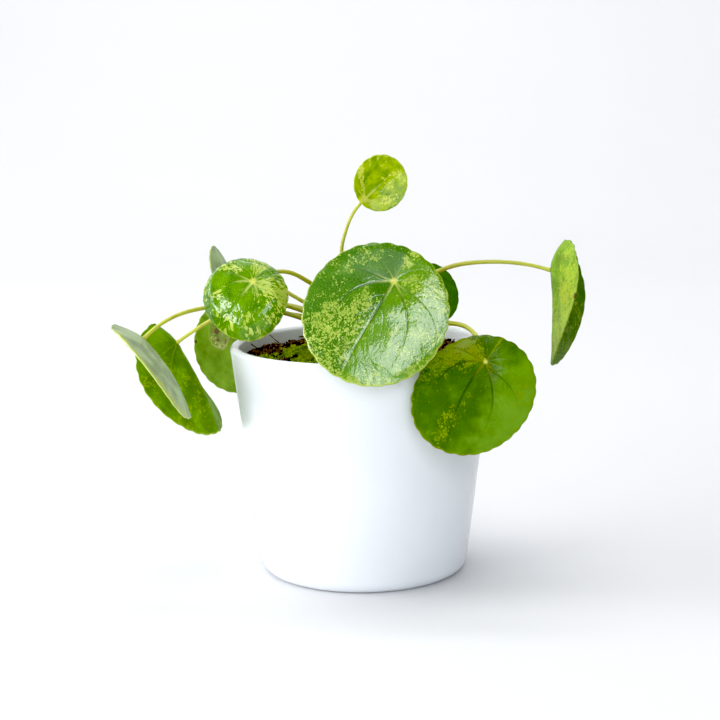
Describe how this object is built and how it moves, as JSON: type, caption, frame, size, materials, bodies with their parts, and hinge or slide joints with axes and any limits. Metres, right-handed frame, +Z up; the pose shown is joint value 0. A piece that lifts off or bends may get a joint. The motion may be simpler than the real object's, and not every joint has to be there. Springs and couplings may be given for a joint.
{
  "type": "potted pilea plant",
  "caption": "Pilea with round, long-stalked, speckled green leaves arching out over the rim of a plain white glazed pot that tapers toward its foot.",
  "frame": {"origin": "centre of the pot's flat underside", "axes": "+Z up, -Y toward the side that the two largest leaves hang over, +X to the right as seen from there"},
  "size_m": [0.2138, 0.1567, 0.1909],
  "materials": {
    "glaze": "smooth white gloss glaze",
    "soil": "dark crumbly potting soil with bright green moss, matt",
    "stalk": "brownish green, dull",
    "petiole": "smooth olive to yellow-green, soft sheen",
    "blade": "fleshy leaf, glossy, deep green with pale yellow-green flecks",
    "old_blade": "withering leaf, pale olive with brown spots, dull"
  },
  "bodies": {
    "root": {"pot": "glaze", "soil": "soil", "stalk": "stalk", "petiole_01_top": "petiole", "blade_01_top": "blade", "petiole_02_left": "petiole", "blade_02_left": "blade", "petiole_03_front": "petiole", "blade_03_front": "blade", "petiole_04_right_front": "petiole", "blade_04_right_front": "blade", "petiole_05_far_right": "petiole", "blade_05_far_right": "blade", "petiole_06_far_left": "petiole", "blade_06_far_left": "blade", "petiole_07_lower_left": "petiole", "blade_07_lower_left": "blade", "petiole_08_rear_left": "petiole", "blade_08_rear_left": "blade", "petiole_09_back": "petiole", "blade_09_back": "blade", "petiole_10_rear_right": "petiole", "blade_10_rear_right": "blade", "petiole_11_old": "petiole", "blade_11_old": "old_blade"}
  },
  "joints": []
}
